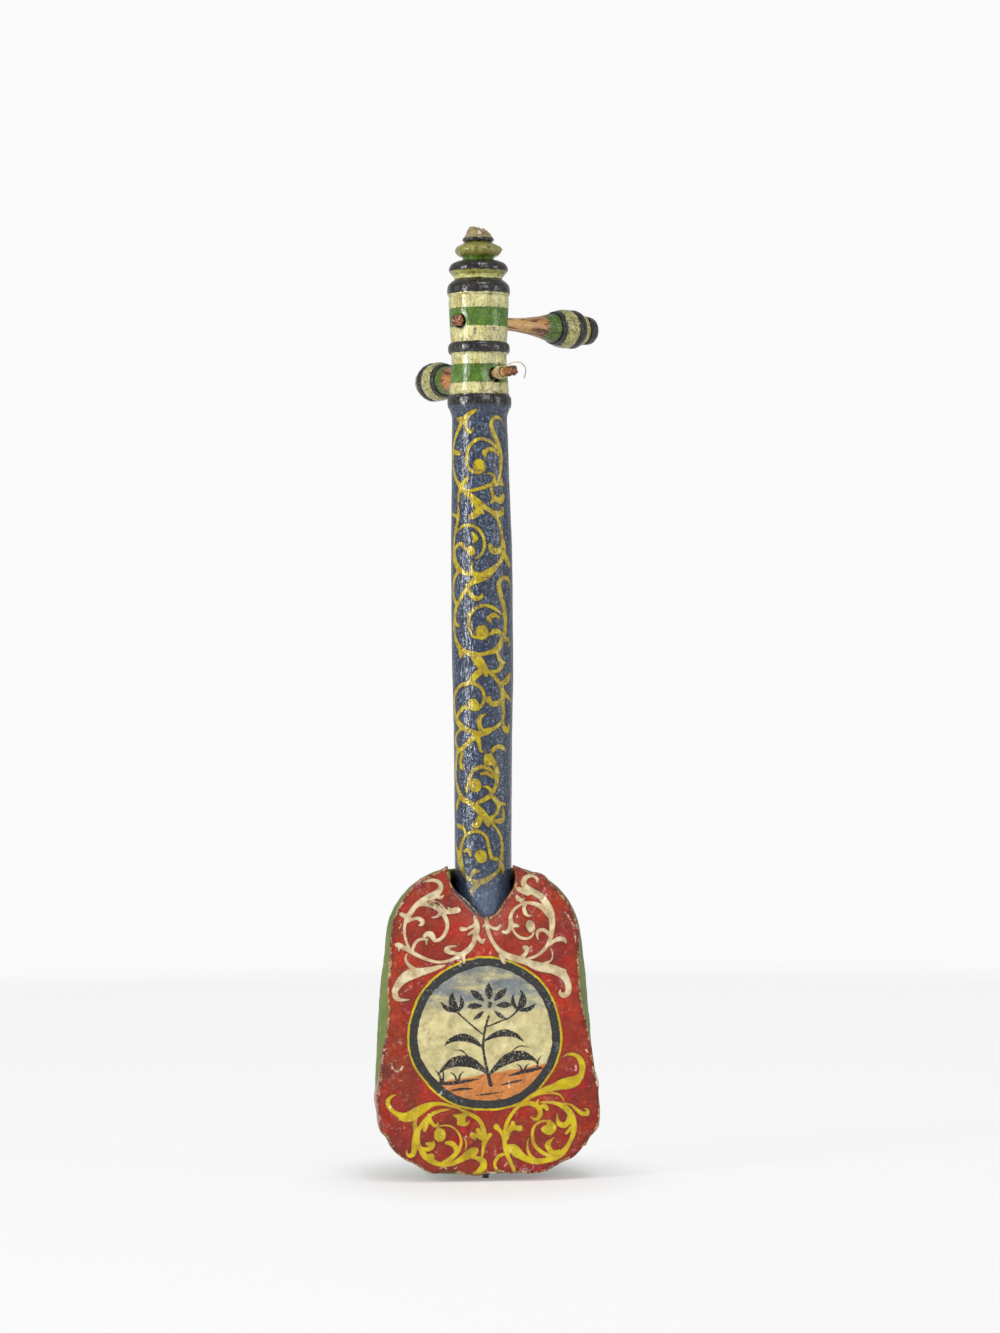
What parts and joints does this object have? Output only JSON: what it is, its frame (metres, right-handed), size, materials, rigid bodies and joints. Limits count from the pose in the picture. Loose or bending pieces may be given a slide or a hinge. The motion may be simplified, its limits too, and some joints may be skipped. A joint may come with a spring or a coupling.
{
  "type": "spike lute",
  "caption": "Small long-necked spike lute: carved bowl with a painted skin face, round turned neck and ringed head, and friction pegs that turn in tapered holes.",
  "frame": {"origin": "lower end of the tail button, on the neck's axis", "axes": "+Z along the neck from the tail to the head, -Y the direction that the painted face looks, +X the right-hand side of the face"},
  "size_m": [0.129, 0.0964, 0.5201],
  "materials": {
    "neck_paint": "blue paint under old varnish, cream, green and black rings at the head",
    "bowl_paint": "green paint on carved wood",
    "painted_skin": "red painted skin with cream and yellow scrollwork, satin varnish",
    "peg_wood": "bare turned wood with painted handle",
    "gut": "dry twisted gut"
  },
  "bodies": {
    "lute": {"neck": "neck_paint", "bowl": "bowl_paint", "skin_face": "painted_skin"},
    "upper_peg": {"upper_peg": "peg_wood"},
    "lower_peg": {"lower_peg": "peg_wood", "string_coil": "gut", "string_end": "gut"}
  },
  "joints": [
    {"name": "upper_peg_turn", "type": "hinge", "parent": "lute", "child": "upper_peg", "pos_m": [0.00064, -0.00077, 0.4681], "axis": [0.766, 0.6428, 0], "continuous": true},
    {"name": "lower_peg_turn", "type": "hinge", "parent": "lute", "child": "lower_peg", "pos_m": [0.00223, 0.00113, 0.4393], "axis": [-0.454, 0.891, 0], "continuous": true}
  ]
}
